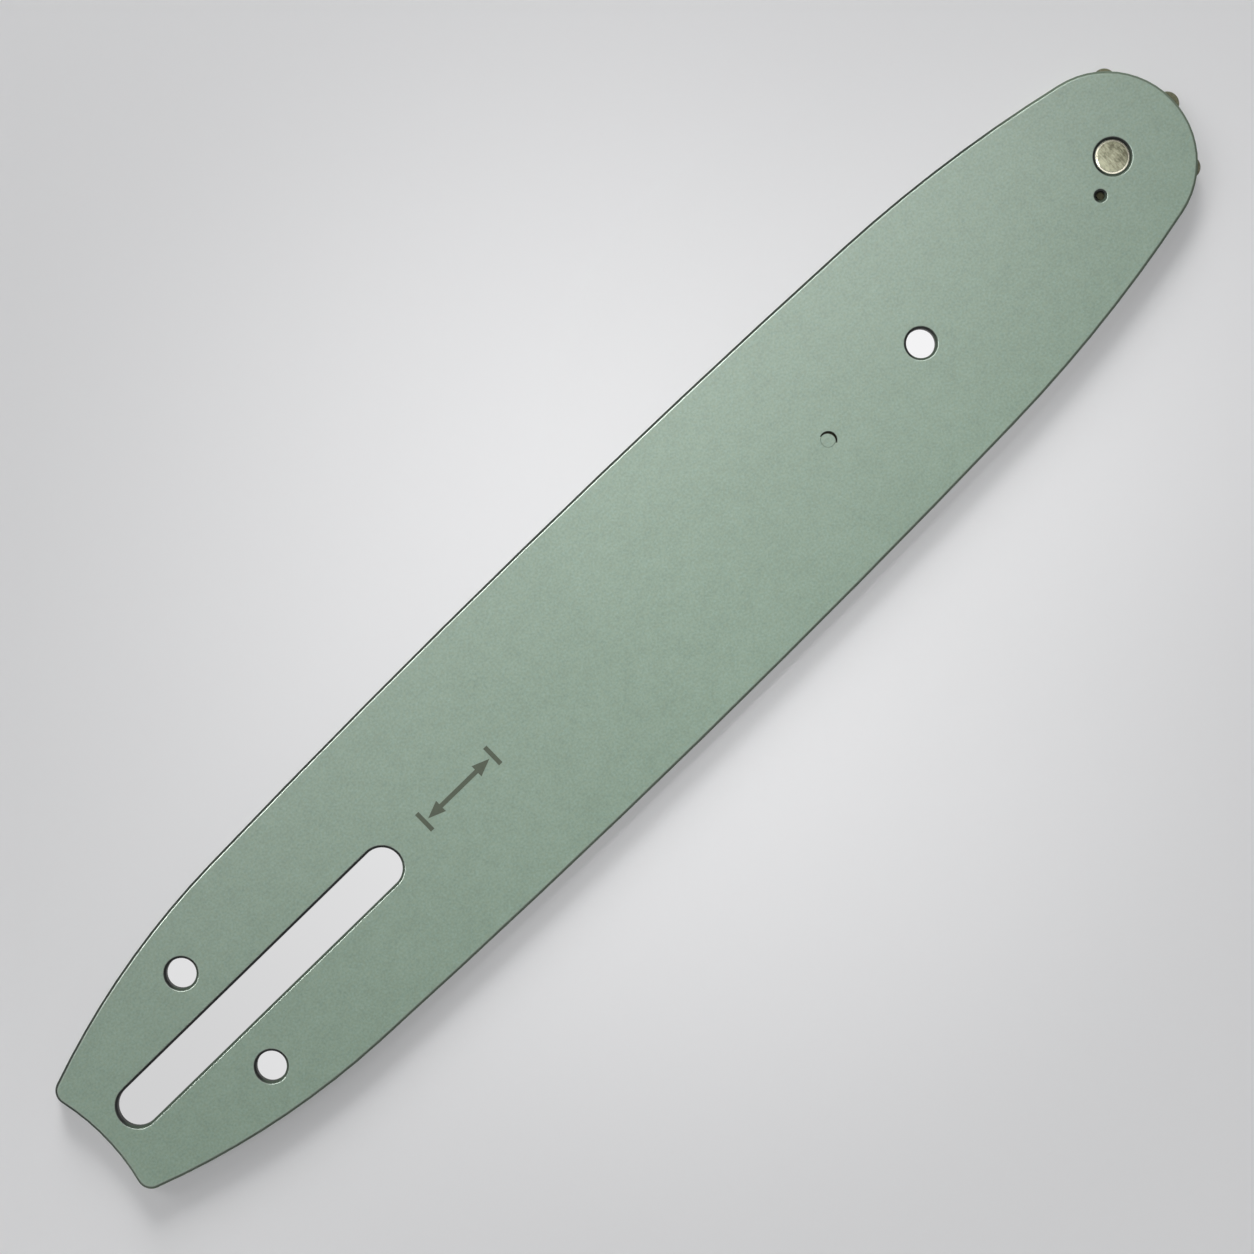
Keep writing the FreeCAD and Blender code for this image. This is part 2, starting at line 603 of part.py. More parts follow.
def make_sprocket(doc, size):
    """The nose sprocket: one tooth sector, from gap to gap, repeated round the bore."""
    body = new_body(doc, "nose_sprocket")
    sector = new_sketch(body, "tooth_sector")
    count = int(size["tooth_count"].value)
    half_pitch = math.pi / count
    tip_radius = float(size["tooth_tip_radius"])
    root, bore = float(size["sprocket_root_radius"]), float(size["bore_radius"])
    tip = FreeCAD.Vector(float(size["sprocket_radius"]) - tip_radius, 0, 0)
    ray = FreeCAD.Vector(math.cos(half_pitch), math.sin(half_pitch), 0)
    # The gap arc touches the root circle on the ray, and the tip arc from outside.
    gap_radius = (tip.x**2 + root**2 - 2 * tip.x * root * ray.x - tip_radius**2) / (
        2 * (tip_radius - root + tip.x * ray.x)
    )
    gap = ray * (root + gap_radius)
    flank = tip + (gap - tip) * (tip_radius / (gap - tip).Length)

    loop = ArcLoop(sector)
    crest = loop.add(tip, tip_radius, mirrored(flank), flank)
    gaps = [
        loop.add(gap, gap_radius, flank, ray * root, hollow=True),
        loop.add(mirrored(gap), gap_radius, mirrored(ray) * root, mirrored(flank), hollow=True),
    ]
    circle = Part.Circle(FreeCAD.Vector(), Z, bore)
    inside = sector.addGeometry(Part.ArcOfCircle(circle, -half_pitch, half_pitch), False)
    sides = [
        sector.addGeometry(Part.LineSegment(ray * root, ray * bore), False),
        sector.addGeometry(Part.LineSegment(mirrored(ray) * bore, mirrored(ray) * root), False),
    ]
    tie(sector, "Tangent", crest, END, gaps[0], END)
    tie(sector, "Tangent", gaps[1], START, crest, START)
    tie(sector, "Coincident", gaps[0], START, sides[0], START)
    tie(sector, "Coincident", sides[0], END, inside, END)
    tie(sector, "Coincident", inside, START, sides[1], START)
    tie(sector, "Coincident", sides[1], END, gaps[1], END)
    tie(sector, "Coincident", inside, CENTRE, X_AXIS, START)
    tie(sector, "PointOnObject", crest, CENTRE, X_AXIS)
    for side, arc in zip(sides, gaps):
        tie(sector, "PointOnObject", arc, CENTRE, side)
    tie(sector, "Equal", gaps[0], gaps[1])
    tip_centre = size["sprocket_radius"] - size["tooth_tip_radius"]
    drive(sector, "tip_radius", size["tooth_tip_radius"], "Radius", crest)
    drive(sector, "tip_centre", tip_centre, "DistanceX", X_AXIS, START, crest, CENTRE)
    drive(sector, "bore_radius", size["bore_radius"], "Radius", inside)
    drive(sector, "root_radius", size["sprocket_root_radius"], "Distance", X_AXIS, START, sides[0], START)
    aim_rays(sector, Size(half_pitch, f"180 / {size['tooth_count'].text}"), *sides)

    tooth = pad(body, sector, size["sprocket_thickness"])
    ring = body.newObject("PartDesign::PolarPattern", "sprocket_teeth")
    ring.Originals = [tooth]
    ring.Axis = (sector, ["N_Axis"])
    ring.Angle = 360
    ring.setExpression("Occurrences", size["tooth_count"].text)
    ring.Refine = True
    body.Tip = ring
    set_place(body, size["rivet_distance"], plain(0), size["sprocket_base"])
    return body


def make_rollers(doc, size):
    """As many loose rollers as the space between the race and the sprocket holds."""
    pitch = size["roller_pitch_radius"]
    half_room = (float(size["roller_radius"]) + float(size["roller_clearance"]) / 2) / float(pitch)
    count = int(math.pi / math.asin(half_room))
    rollers = []
    for number in range(count):
        roller = doc.addObject("Part::Cylinder", f"roller_{number + 1:02d}")
        roller.Label = roller.Name
        roller.setExpression("Radius", size["roller_radius"].text)
        roller.setExpression("Height", size["sprocket_thickness"].text)
        turn, angle = math.tau * number / count, f"360 / {count} * {number}"
        along = Size(float(pitch) * math.cos(turn), f"{pitch.text} * cos({angle})")
        across = Size(float(pitch) * math.sin(turn), f"{pitch.text} * sin({angle})")
        set_place(roller, size["rivet_distance"] + along, across, size["sprocket_base"])
        rollers.append(roller)
    return rollers


def check(doc, parts):
    """Stop if anything in the document failed, or a sub-part is not one sound solid."""
    for item in doc.Objects:
        if "Invalid" in item.State or "Error" in item.State:
            raise RuntimeError(f"{item.Name} failed: {item.State}")
        if item.isDerivedFrom("Sketcher::SketchObject") and not item.FullyConstrained:
            raise RuntimeError(f"{item.Name} is not fully constrained")
    for part in parts:
        shape = part.Shape
        if shape.isNull() or not shape.isValid() or len(shape.Solids) != 1:
            raise RuntimeError(f"{part.Label} is not one sound solid")


def main():
    doc = FreeCAD.newDocument("guide_bar")
    size = make_sheet(doc)
    derive(size)
    upper = make_side_plate(doc, size, "side_plate_upper")
    lower = make_side_plate(doc, size, "side_plate_lower")
    set_place(upper, plain(0), plain(0), size["plate_thickness"] + size["core_thickness"])
    # The lower plate is the same pressing turned over about the blade's axis.
    lower.Placement = FreeCAD.Placement(FreeCAD.Vector(), FreeCAD.Rotation(FreeCAD.Vector(1, 0, 0), 180))
    set_place(lower, plain(0), plain(0), size["plate_thickness"])
    parts = [upper, lower, make_core_plate(doc, size), make_rivet(doc, size)]
    parts += [make_race(doc, size), make_sprocket(doc, size)]
    parts += make_rollers(doc, size)
    doc.recompute()
    check(doc, parts)

    os.makedirs("parts", exist_ok=True)
    for part in parts:
        part.Shape.exportStep(f"parts/{part.Label}.step")
        box = part.Shape.BoundBox
        print(
            f"{part.Label}: {part.Shape.Volume:.2f} mm3, x {box.XMin:.2f} to {box.XMax:.2f},"
            f" y {box.YMin:.2f} to {box.YMax:.2f}, z {box.ZMin:.2f} to {box.ZMax:.2f}"
        )


main()
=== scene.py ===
"""Looks of a chainsaw guide bar: its finishes, eased edges and print, with floor, light and camera.

Everything is in metres, in the part's own frame: X runs from the tensioner holes to the nose, Y
across the blade and Z up. The origin is midway between the tensioner holes, on the lower face.
"""

import math

import bmesh
import bpy
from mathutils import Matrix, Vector


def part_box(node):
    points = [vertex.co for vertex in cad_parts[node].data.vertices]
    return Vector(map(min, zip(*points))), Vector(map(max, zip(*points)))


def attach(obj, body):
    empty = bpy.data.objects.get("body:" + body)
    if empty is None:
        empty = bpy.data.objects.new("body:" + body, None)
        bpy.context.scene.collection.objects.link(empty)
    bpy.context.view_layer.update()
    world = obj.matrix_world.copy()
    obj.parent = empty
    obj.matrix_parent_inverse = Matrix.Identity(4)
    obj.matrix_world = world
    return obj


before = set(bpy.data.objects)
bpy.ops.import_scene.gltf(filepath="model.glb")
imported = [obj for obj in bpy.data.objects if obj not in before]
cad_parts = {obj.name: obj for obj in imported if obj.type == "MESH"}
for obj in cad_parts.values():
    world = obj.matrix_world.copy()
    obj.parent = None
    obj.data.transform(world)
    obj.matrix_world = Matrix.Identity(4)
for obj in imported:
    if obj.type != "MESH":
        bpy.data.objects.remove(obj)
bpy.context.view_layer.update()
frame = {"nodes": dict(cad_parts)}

MM = 0.001

# The photograph looks straight down, with the bar's axis turned in the picture
IMAGE_SIDE_PX = 1254
PX_PER_MM = 5.0
AXIS_ANGLE = math.radians(44.24)
CAMERA_OVER = Vector((112.26 * MM, 0.36 * MM, 0))
CAMERA_ABOVE_TOP = 820 * MM
SENSOR = 36.0

# Places on the bar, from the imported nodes
PLATES = ("side_plate_upper", "side_plate_lower")
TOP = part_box("side_plate_upper")[1].z
MID = TOP / 2
RIVET = (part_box("nose_rivet")[0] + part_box("nose_rivet")[1]) / 2
RIVET_RADIUS = (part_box("nose_rivet")[1].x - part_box("nose_rivet")[0].x) / 2
TAB_BEHIND_RIVET = 80.3 * MM
TAB_ASIDE = 0.95 * MM
TAB_CREASE_RADIUS = 1.5 * MM
TAB_CREASE_WIDTH, TAB_CREASE_DEPTH, TAB_CREASE_TINT = 0.16 * MM, 0.08 * MM, 0.2

# Eased edges: the pressed rims are chamfered in the CAD node and rounded here
WELD_GAP = 1e-7
FLAT_ANGLE = math.radians(0.2)
SHARP_EDGE, SHARP_ROUND = math.radians(50), 0.03 * MM
RIM_STEPS = 4
# The steps in a cut edge, the angle at which a sloped rim begins, and how wide the rim is rounded
EASING = (4, math.radians(35), 0.265 * MM)
RIVET_EASING = (6, math.radians(18), 0.05 * MM)

# How level a surface lies, as the upward part of its normal, where one finish passes to another
WALL_LEVEL, FLAT_LEVEL = 0.945, 0.983
RIM_LEVEL, FACE_LEVEL = 0.9965, 0.9992
RIVET_BEVEL_LEVEL, RIVET_FACE_LEVEL = 0.96, 0.985
PAINT_ROUGHNESS, RIM_ROUGHNESS, WALL_ROUGHNESS = (0.33, 0.41), 0.2, 0.68
# How bare the worn rims are: at the tail, at the nose, and at the openings as a part of that
WEAR_TAIL, WEAR_NOSE, WEAR_FROM, WEAR_TO = 0.55, 0.28, 150 * MM, 205 * MM
WEAR_INSIDE = 0.6
# Where the painted shade on the edges turns lighter, towards the nose
NOSE_SHADE_FROM, NOSE_SHADE_TO = 225 * MM, 250 * MM
# Within this of the axis, the painted shade on the two long edges blends from one tone to the other
EDGE_SHADE_BLEND = 14 * MM
# Boxes that hold the openings, where the painted shade on the edges is darker and the floor glows:
# middle, half length and half width
OPEN_BOXES = ((85 * MM, 114.5 * MM, 6 * MM), (0.0, 5 * MM, 17.5 * MM))
NOSE_BOX = (245 * MM, 10 * MM, 6 * MM)

# The print: a plain length arrow ahead of the slot
PRINT_CENTRE = Vector((65.6 * MM, 0.68 * MM, 0))
PRINT_LENGTH = 19 * MM
PRINT_HEIGHT = 4.6 * MM
PRINT_STROKE = 0.95 * MM
PRINT_HEAD = 3.6 * MM
PRINT_HEAD_SHARE = 0.62
PRINT_THICK = 0.02 * MM

# Light. A share is a part of the level that shows a plain colour as it is written.
SKY_SHARE = 0.10
# Wide lights: heading from +X and elevation, their spread, all in degrees, share, shown in gloss
WINDOWS = (
    ("overhead", 0, 90, 6, 0.267, False),
    ("low_window", 52, 20, 24, 0.176, False),
    ("side_window", 110, 30, 34, 0.081, True),
)
# Spots: the middle of the lit floor, heading and elevation, distance, reach and radius in mm, share
SPOTS = (
    ("pool_core", (124, 7), 80, 60, 400, 70, 60, 0.234),
    ("pool_rim", (124, 7), 0, 90, 2000, 150, 20, 0.096),
    ("pool_side", (118, -8), 80, 30, 700, 80, 120, 0.046),
    ("pool_nose", (225, -25), 0, 90, 2000, 70, 20, 0.054),
    ("wide_beam", (124, -20), 70, 28, 700, 330, 160, 0.073),
    ("tail_beam", (-30, -10), 160, 30, 500, 110, 90, 0.096),
    ("nose_beam", (262, -20), 35, 30, 500, 110, 90, 0.051),
)
SHEEN_HEIGHT = 330 * MM
SHEEN_WIDTH = 60 * MM
# Sheen strips: from, to, aside and their radiance
SHEENS = (
    ("sheen_near", 165 * MM, 340 * MM, 66 * MM, 8.0),
    ("sheen_long", -80 * MM, 340 * MM, 108 * MM, 10.5),
)
# The sky as shiny surfaces show it: a lit band at an angle from straight up, with its half width
# and level, brighter towards one side, and a paler sky from one angle down to another
BAND_SLANT, BAND_HALF, BAND_LEVEL = math.radians(45), math.radians(9), 1.7
BAND_SIDE, BAND_SIDE_REACH = Vector((-0.64, -0.77, 0)), 0.7
BAND_WEAK, BAND_STRONG = 0.7, 1.7
PALE_FROM, PALE_TO, PALE_LEVEL = math.radians(62), math.radians(78), 0.3

# The floor, and a painted glow on it through the openings that hides the bar's shadow there: it
# brightens along the bar from one level to another, and the holes beside the slot have more
FLOOR_HALF = 3.0
GLOW_FROM, GLOW_TO, GLOW_LOW, GLOW_HIGH = -40 * MM, 150 * MM, 0.636, 0.904
GLOW_BESIDE = 0.085


def rgb(red, green, blue):
    """A colour as it shows on screen, 0 to 255, in the linear values that shaders take."""

    def linear(value):
        share = value / 255
        return share / 12.92 if share <= 0.04045 else ((share + 0.055) / 1.055) ** 2.4

    return (linear(red), linear(green), linear(blue), 1.0)


class Nodes:
    """Adds and joins the nodes of one material, or of the world."""

    def __init__(self, owner):
        self.owner = owner
        owner.use_nodes = True
        self.tree = owner.node_tree
        self.tree.nodes.clear()

    def add(self, kind, inputs=None, **settings):
        """A node with its settings, and its inputs by name or number: sockets or plain values."""
        node = self.tree.nodes.new(kind)
        for name, value in settings.items():
            setattr(node, name, value)
        for name, value in (inputs or {}).items():
            self.feed(node.inputs[name], value)
        return node

    def feed(self, socket, value):
        if isinstance(value, bpy.types.NodeSocket):
            self.tree.links.new(value, socket)
        else:
            socket.default_value = value

    def math(self, operation, *values, clamp=False):
        inputs = dict(enumerate(values))
        return self.add("ShaderNodeMath", inputs, operation=operation, use_clamp=clamp).outputs[0]

    def place(self):
        """Where a point is in the part's frame."""
        return self.add("ShaderNodeTexCoord").outputs["Object"]

    def facing(self, axis=2):
        """How far the surface looks along an axis of the part's frame, from -1 to 1. 2 is up."""
        normal = self.add("ShaderNodeTexCoord").outputs["Normal"]
        return self.add("ShaderNodeSeparateXYZ", {0: normal}).outputs[axis]

    def distance(self, point):
        inputs = {0: self.place(), 1: point}
        return self.add("ShaderNodeVectorMath", inputs, operation="DISTANCE").outputs["Value"]

    def noise(self, size, detail=2.0, rough=0.5, shift=0.0, stretch=None):
        """Smooth random values about 0.5, in patches of the given size in metres."""
        where = self.place()
        if shift or stretch:
            inputs = {"Vector": where, "Location": (shift, shift, shift)}
            inputs["Scale"] = stretch or (1, 1, 1)
            where = self.add("ShaderNodeMapping", inputs).outputs[0]
        inputs = {"Vector": where, "Scale": 1 / size, "Detail": detail, "Roughness": rough}
        return self.add("ShaderNodeTexNoise", inputs).outputs["Fac"]

    def ramp(self, value, low, high, to_low=0.0, to_high=1.0):
        """Eases a value from one range to another and holds it at the ends."""
        inputs = {"Value": value, "From Min": low, "From Max": high}
        inputs |= {"To Min": to_low, "To Max": to_high}
        return self.add("ShaderNodeMapRange", inputs, interpolation_type="SMOOTHSTEP").outputs[0]

    def sway(self, *parts):
        """0.5 plus each noise's swing about its middle, times its weight."""
        total = 0.5
        for value, weight in parts:
            swing = self.math("MULTIPLY", self.math("SUBTRACT", value, 0.5), weight)
            total = self.math("ADD", swing, total)
        return self.math("ADD", total, 0.0, clamp=True)

    def within(self, along, across, boxes):
        """1 in any of the boxes, which lie along the bar about its axis, and 0 elsewhere."""
        inside = 0.0
        for middle, half_length, half_width in boxes:
            off = self.math("ABSOLUTE", self.math("SUBTRACT", along, middle))
            box = self.math("LESS_THAN", off, half_length)
            near = self.math("LESS_THAN", self.math("ABSOLUTE", across), half_width)
            inside = self.math("MAXIMUM", inside, self.math("MULTIPLY", box, near))
        return inside

    def mix(self, share, first, second):
        """The first colour where the share is 0, and the second where it is 1."""
        node = self.add("ShaderNodeMix", data_type="RGBA")
        sockets = {socket.identifier: socket for socket in node.inputs}
        for name, value in (("Factor_Float", share), ("A_Color", first), ("B_Color", second)):
            self.feed(sockets[name], value)
        return next(socket for socket in node.outputs if socket.identifier == "Result_Color")

    def bump(self, height, distance, under=None):
        inputs = {"Height": height, "Distance": distance, "Strength": 1.0}
        if under is not None:
            inputs["Normal"] = under
        return self.add("ShaderNodeBump", inputs).outputs["Normal"]

    def finish(self, **inputs):
        """Ends in one Principled shader. Its inputs are named with _ for a space."""
        named = {name.replace("_", " "): value for name, value in inputs.items()}
        surface = self.add("ShaderNodeBsdfPrincipled", named)
        self.add("ShaderNodeOutputMaterial", {"Surface": surface.outputs[0]})
        return self.owner


def new_nodes(name):
    return Nodes(bpy.data.materials.new(name))


def plate_paint(name, tab):
    """Satin sage powder coat, its rims worn bright, its inner faces bare, and painted shade on its
    walls and steep rims.
    """
    nodes = new_nodes(name)
    grain = nodes.noise(0.5 * MM, 2.0, 0.6)
    cloud = nodes.noise(3 * MM, 3.0)
    broad = nodes.noise(45 * MM, 2.0)
    tone = nodes.sway((grain, 1.2), (cloud, 0.45), (broad, 0.15))
    coat = nodes.mix(tone, rgb(116, 139, 124), rgb(154, 177, 162))
    hue = nodes.sway((nodes.noise(0.8 * MM, 3.0, 0.6, shift=1.7), 2.4))
    coat = nodes.mix(nodes.math("MULTIPLY", hue, 0.5), coat, rgb(145, 159, 136))

    up = nodes.facing()
    level = nodes.math("ABSOLUTE", up)
    along, across, height = nodes.add("ShaderNodeSeparateXYZ", {0: nodes.place()}).outputs
    inside = nodes.within(along, across, (*OPEN_BOXES, NOSE_BOX))
    flat = nodes.ramp(level, WALL_LEVEL, FLAT_LEVEL)
    # Painted shade: walls and steep rims are coloured dark, darker along the +Y edge than the -Y
    # edge, and lighter towards the nose.
    painted_edge_shade = nodes.mix(nodes.noise(1.2 * MM, 3.0), rgb(20, 27, 20), rgb(46, 57, 46))
    painted_edge_shade = nodes.mix(nodes.ramp(across, -EDGE_SHADE_BLEND, EDGE_SHADE_BLEND), rgb(88, 100, 86), painted_edge_shade)
    painted_edge_shade = nodes.mix(nodes.ramp(along, NOSE_SHADE_FROM, NOSE_SHADE_TO), painted_edge_shade, rgb(92, 106, 90))
    # Painted light and shade: in the openings, walls facing +Y, towards the light, are lighter, and
    # those facing -Y are near black.
    facing_light = nodes.ramp(nodes.facing(1), 0.0, 0.4)
    painted_edge_shade = nodes.mix(inside, painted_edge_shade, nodes.mix(facing_light, rgb(12, 15, 12), rgb(58, 71, 58)))
    wear = nodes.ramp(along, WEAR_FROM, WEAR_TO, WEAR_TAIL, WEAR_NOSE)
    wear = nodes.math("MULTIPLY", wear, nodes.ramp(inside, 0.0, 1.0, 1.0, WEAR_INSIDE))
    worn = nodes.math("MULTIPLY", nodes.ramp(level, FACE_LEVEL, RIM_LEVEL, 0.0, wear), flat)
    colour = nodes.mix(flat, painted_edge_shade, nodes.mix(worn, coat, rgb(222, 226, 220)))

    side = nodes.math("SIGN", nodes.math("SUBTRACT", height, MID))
    inward = nodes.math("MULTIPLY", nodes.math("MULTIPLY", up, side), -1.0)
    steel = nodes.mix(nodes.noise(2 * MM, 4.0), rgb(96, 94, 86), rgb(132, 129, 118))
    colour = nodes.mix(nodes.ramp(inward, 0.5, 0.8), colour, steel)

    shine = nodes.sway((nodes.noise(0.8 * MM, 3.0), 0.5), (cloud, 0.4))
    rough = nodes.ramp(shine, 0.2, 0.8, *PAINT_ROUGHNESS)
    rough = nodes.ramp(level, RIM_LEVEL, FACE_LEVEL, RIM_ROUGHNESS, rough)
    rough = nodes.ramp(flat, 0.0, 1.0, WALL_ROUGHNESS, rough)

    skin = nodes.bump(nodes.noise(0.7 * MM, 3.0, 0.6), 0.012 * MM)
    off_line = nodes.math("SUBTRACT", nodes.distance(tab), TAB_CREASE_RADIUS)
    off_line = nodes.ramp(nodes.math("ABSOLUTE", off_line), 0.0, TAB_CREASE_WIDTH)
    crease = nodes.bump(off_line, TAB_CREASE_DEPTH, under=skin)
    tint = nodes.math("MULTIPLY", nodes.math("SUBTRACT", 1.0, off_line), TAB_CREASE_TINT)
    colour = nodes.mix(tint, colour, rgb(72, 84, 70))
    return nodes.finish(Base_Color=colour, Roughness=rough, Metallic=worn, Normal=crease)


def rivet_steel():
    """Bare staked steel: a dull warm face with painted light that makes it lighter towards the
    tail, and a bright worn bevel.
    """
    nodes = new_nodes("rivet_steel")
    cloud = nodes.noise(1.6 * MM, 3.0, 0.6, shift=0.3)
    grain = nodes.noise(0.3 * MM, 3.0, 0.6)
    smear = nodes.noise(0.9 * MM, 2.0, stretch=(3.4, 1, 1))
    along = nodes.add("ShaderNodeSeparateXYZ", {0: nodes.place()}).outputs[0]
    # Painted light: the face is lighter towards the tail, as if lit from that side.
    painted_tail_light = nodes.ramp(along, RIVET.x - RIVET_RADIUS, RIVET.x + RIVET_RADIUS, 1.0, 0.0)
    tone = nodes.sway((cloud, 1.0), (grain, 0.5), (smear, 1.5), (painted_tail_light, 0.7))
    face = nodes.mix(tone, rgb(88, 87, 72), rgb(154, 155, 133))
    level = nodes.math("ABSOLUTE", nodes.facing())
    bevel = nodes.ramp(level, RIVET_FACE_LEVEL, RIVET_BEVEL_LEVEL)
    colour = nodes.mix(bevel, face, rgb(188, 184, 166))
    rough = nodes.ramp(tone, 0.2, 0.8, 0.46, 0.36)
    rough = nodes.ramp(bevel, 0.0, 1.0, rough, 0.24)
    marks = nodes.bump(nodes.noise(0.4 * MM, 3.0), 0.01 * MM)
    return nodes.finish(Base_Color=colour, Roughness=rough, Metallic=1.0, Normal=marks)


def plain_steel(name, dark, light, grain, rough):
    """Machined steel with a cloudy oxide tone and fine marks."""
    nodes = new_nodes(name)
    tone = nodes.sway((nodes.noise(grain, 4.0, 0.6), 1.2), (nodes.noise(grain * 6, 2.0), 0.8))
    colour = nodes.mix(tone, dark, light)
    finish = nodes.ramp(tone, 0.2, 0.8, rough + 0.06, rough - 0.04)
    marks = nodes.bump(nodes.noise(grain / 3, 3.0), 0.006 * MM)
    return nodes.finish(Base_Color=colour, Roughness=finish, Metallic=1.0, Normal=marks)


def print_ink():
    """Dark olive print with a slightly uneven edge of tone."""
    nodes = new_nodes("print_ink")
    grain = nodes.noise(0.6 * MM, 3.0)
    cloud = nodes.noise(2.5 * MM, 2.0, shift=0.9)
    tone = nodes.sway((grain, 1.0), (cloud, 0.8))
    colour = nodes.mix(tone, rgb(59, 68, 51), rgb(81, 90, 73))
    rough = nodes.ramp(tone, 0.2, 0.8, 0.5, 0.62)
    return nodes.finish(Base_Color=colour, Roughness=rough)


def ease_edges(node, cut_steps, rim_edge, rim_round):
    """Round a CAD node's edges: the sloped rims well, and the cut ones only a little.

    The cut edges turn in steps below rim_edge, so the second pass leaves them alone.
    """
    weld = node.modifiers.new("join_faces", "WELD")
    weld.merge_threshold = WELD_GAP
    flats = node.modifiers.new("plain_flats", "DECIMATE")
    flats.decimate_type = "DISSOLVE"
    flats.angle_limit = FLAT_ANGLE
    for name, limit, width, segments in (
        ("cut_edges", SHARP_EDGE, SHARP_ROUND, cut_steps),
        ("sloped_rims", rim_edge, rim_round, RIM_STEPS),
    ):
        bevel = node.modifiers.new(name, "BEVEL")
        bevel.limit_method = "ANGLE"
        bevel.angle_limit = limit
        bevel.width = width
        bevel.segments = segments
        bevel.use_clamp_overlap = False
        bevel.harden_normals = True


def set_material(node, material):
    node.data.materials.clear()
    node.data.materials.append(material)


def dress_bar():
    """Give every CAD node its finish and eased edges."""
    nodes = frame["nodes"]
    for name, side in zip(PLATES, (-1, 1)):
        tab = (RIVET.x - TAB_BEHIND_RIVET, side * TAB_ASIDE, TOP if side < 0 else 0.0)
        set_material(nodes[name], plate_paint(f"{name}_paint", tab))
    set_material(nodes["nose_rivet"], rivet_steel())
    tooth = plain_steel("sprocket_steel", rgb(64, 64, 50), rgb(108, 108, 90), 0.5 * MM, 0.4)
    # The core's oiled steel is kept very dark, partly as painted shade: it shows only in the tab's
    # slit and in the groove.
    core = plain_steel("core_steel", rgb(34, 33, 28), rgb(54, 52, 44), 1.5 * MM, 0.5)
    bearing = plain_steel("bearing_steel", rgb(38, 38, 28), rgb(60, 60, 46), 0.6 * MM, 0.4)
    set_material(nodes["nose_sprocket"], tooth)
    set_material(nodes["core_plate"], core)
    for name, node in nodes.items():
        if name == "bearing_race" or name.startswith("roller_"):
            set_material(node, bearing)
        ease_edges(node, *(RIVET_EASING if name == "nose_rivet" else EASING))


def add_prism(name, outline, low, high):
    """A closed plate of the given outline between two heights."""
    mesh = bmesh.new()
    base = [mesh.verts.new((x, y, low)) for x, y in outline]
    face = mesh.faces.new(base)
    raised = bmesh.ops.extrude_face_region(mesh, geom=[face])["geom"]
    corners = [item for item in raised if isinstance(item, bmesh.types.BMVert)]
    bmesh.ops.translate(mesh, vec=(0, 0, high - low), verts=corners)
    bmesh.ops.recalc_face_normals(mesh, faces=mesh.faces)
    data = bpy.data.meshes.new(name)
    mesh.to_mesh(data)
    mesh.free()
    piece = bpy.data.objects.new(name, data)
    bpy.context.scene.collection.objects.link(piece)
    return piece


def add_print():
    """A double-headed length arrow between two end bars, printed on the upper plate."""
    half, reach, stroke = PRINT_LENGTH / 2, PRINT_HEIGHT / 2, PRINT_STROKE / 2
    tip = half - PRINT_STROKE
    neck = tip - PRINT_HEAD
    head = reach * PRINT_HEAD_SHARE
    arrow = [(-tip, 0), (-neck, -head), (-neck, -stroke), (neck, -stroke), (neck, -head)]
    arrow += [(tip, 0), (neck, head), (neck, stroke), (-neck, stroke), (-neck, head)]
    outlines = {"print_arrow": arrow}
    corners = ((-stroke, -reach), (stroke, -reach), (stroke, reach), (-stroke, reach))
    for name, middle in (("print_bar_rear", -half), ("print_bar_front", half)):
        outlines[name] = [(middle + x, y) for x, y in corners]
    ink = print_ink()
    for name, outline in outlines.items():
        moved = [(x + PRINT_CENTRE.x, y + PRINT_CENTRE.y) for x, y in outline]
        piece = add_prism(name, moved, TOP - PRINT_THICK / 2, TOP + PRINT_THICK)
        set_material(piece, ink)
        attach(piece, "bar")


def floor_material():
    """Pale matt floor. Under the bar's openings it has a painted glow, for the camera and in
    reflections, that hides the bar's shadow there.
    """
    nodes = new_nodes("floor")
    matt = nodes.add("ShaderNodeBsdfDiffuse", {"Color": rgb(237, 237, 238)})
    along, across, _ = nodes.add("ShaderNodeSeparateXYZ", {0: nodes.place()}).outputs
    inside = nodes.within(along, across, OPEN_BOXES)
    level = nodes.ramp(along, GLOW_FROM, GLOW_TO, GLOW_LOW, GLOW_HIGH)
    beside = nodes.math("GREATER_THAN", nodes.math("ABSOLUTE", across), OPEN_BOXES[0][2])
    level = nodes.math("MULTIPLY_ADD", beside, GLOW_BESIDE, level)
    painted_glow = nodes.add("ShaderNodeEmission", {"Color": rgb(254, 254, 255), "Strength": level})
    path = nodes.add("ShaderNodeLightPath").outputs
    seen = nodes.math("MAXIMUM", path["Is Camera Ray"], path["Is Glossy Ray"])
    seen = nodes.math("MAXIMUM", seen, path["Is Transmission Ray"])
    share = nodes.math("MULTIPLY", seen, inside)
    surface = nodes.add("ShaderNodeMixShader", {0: share, 1: matt.outputs[0], 2: painted_glow.outputs[0]})
    nodes.add("ShaderNodeOutputMaterial", {"Surface": surface.outputs[0]})
    return nodes.owner


def add_floor():
    half = FLOOR_HALF
    data = bpy.data.meshes.new("floor")
    corners = [(-half, -half, 0), (half, -half, 0), (half, half, 0), (-half, half, 0)]
    data.from_pydata(corners, [], [(0, 1, 2, 3)])
    floor = bpy.data.objects.new("floor", data)
    bpy.context.scene.collection.objects.link(floor)
    set_material(floor, floor_material())


def aim(lamp, at):
    lamp.rotation_euler = (at - lamp.location).to_track_quat("-Z", "Y").to_euler()


def new_lamp(name, kind, energy):
    data = bpy.data.lights.new(name, kind)
    data.energy = energy
    lamp = bpy.data.objects.new(name, data)
    bpy.context.scene.collection.objects.link(lamp)
    lamp.visible_camera = False
    return lamp


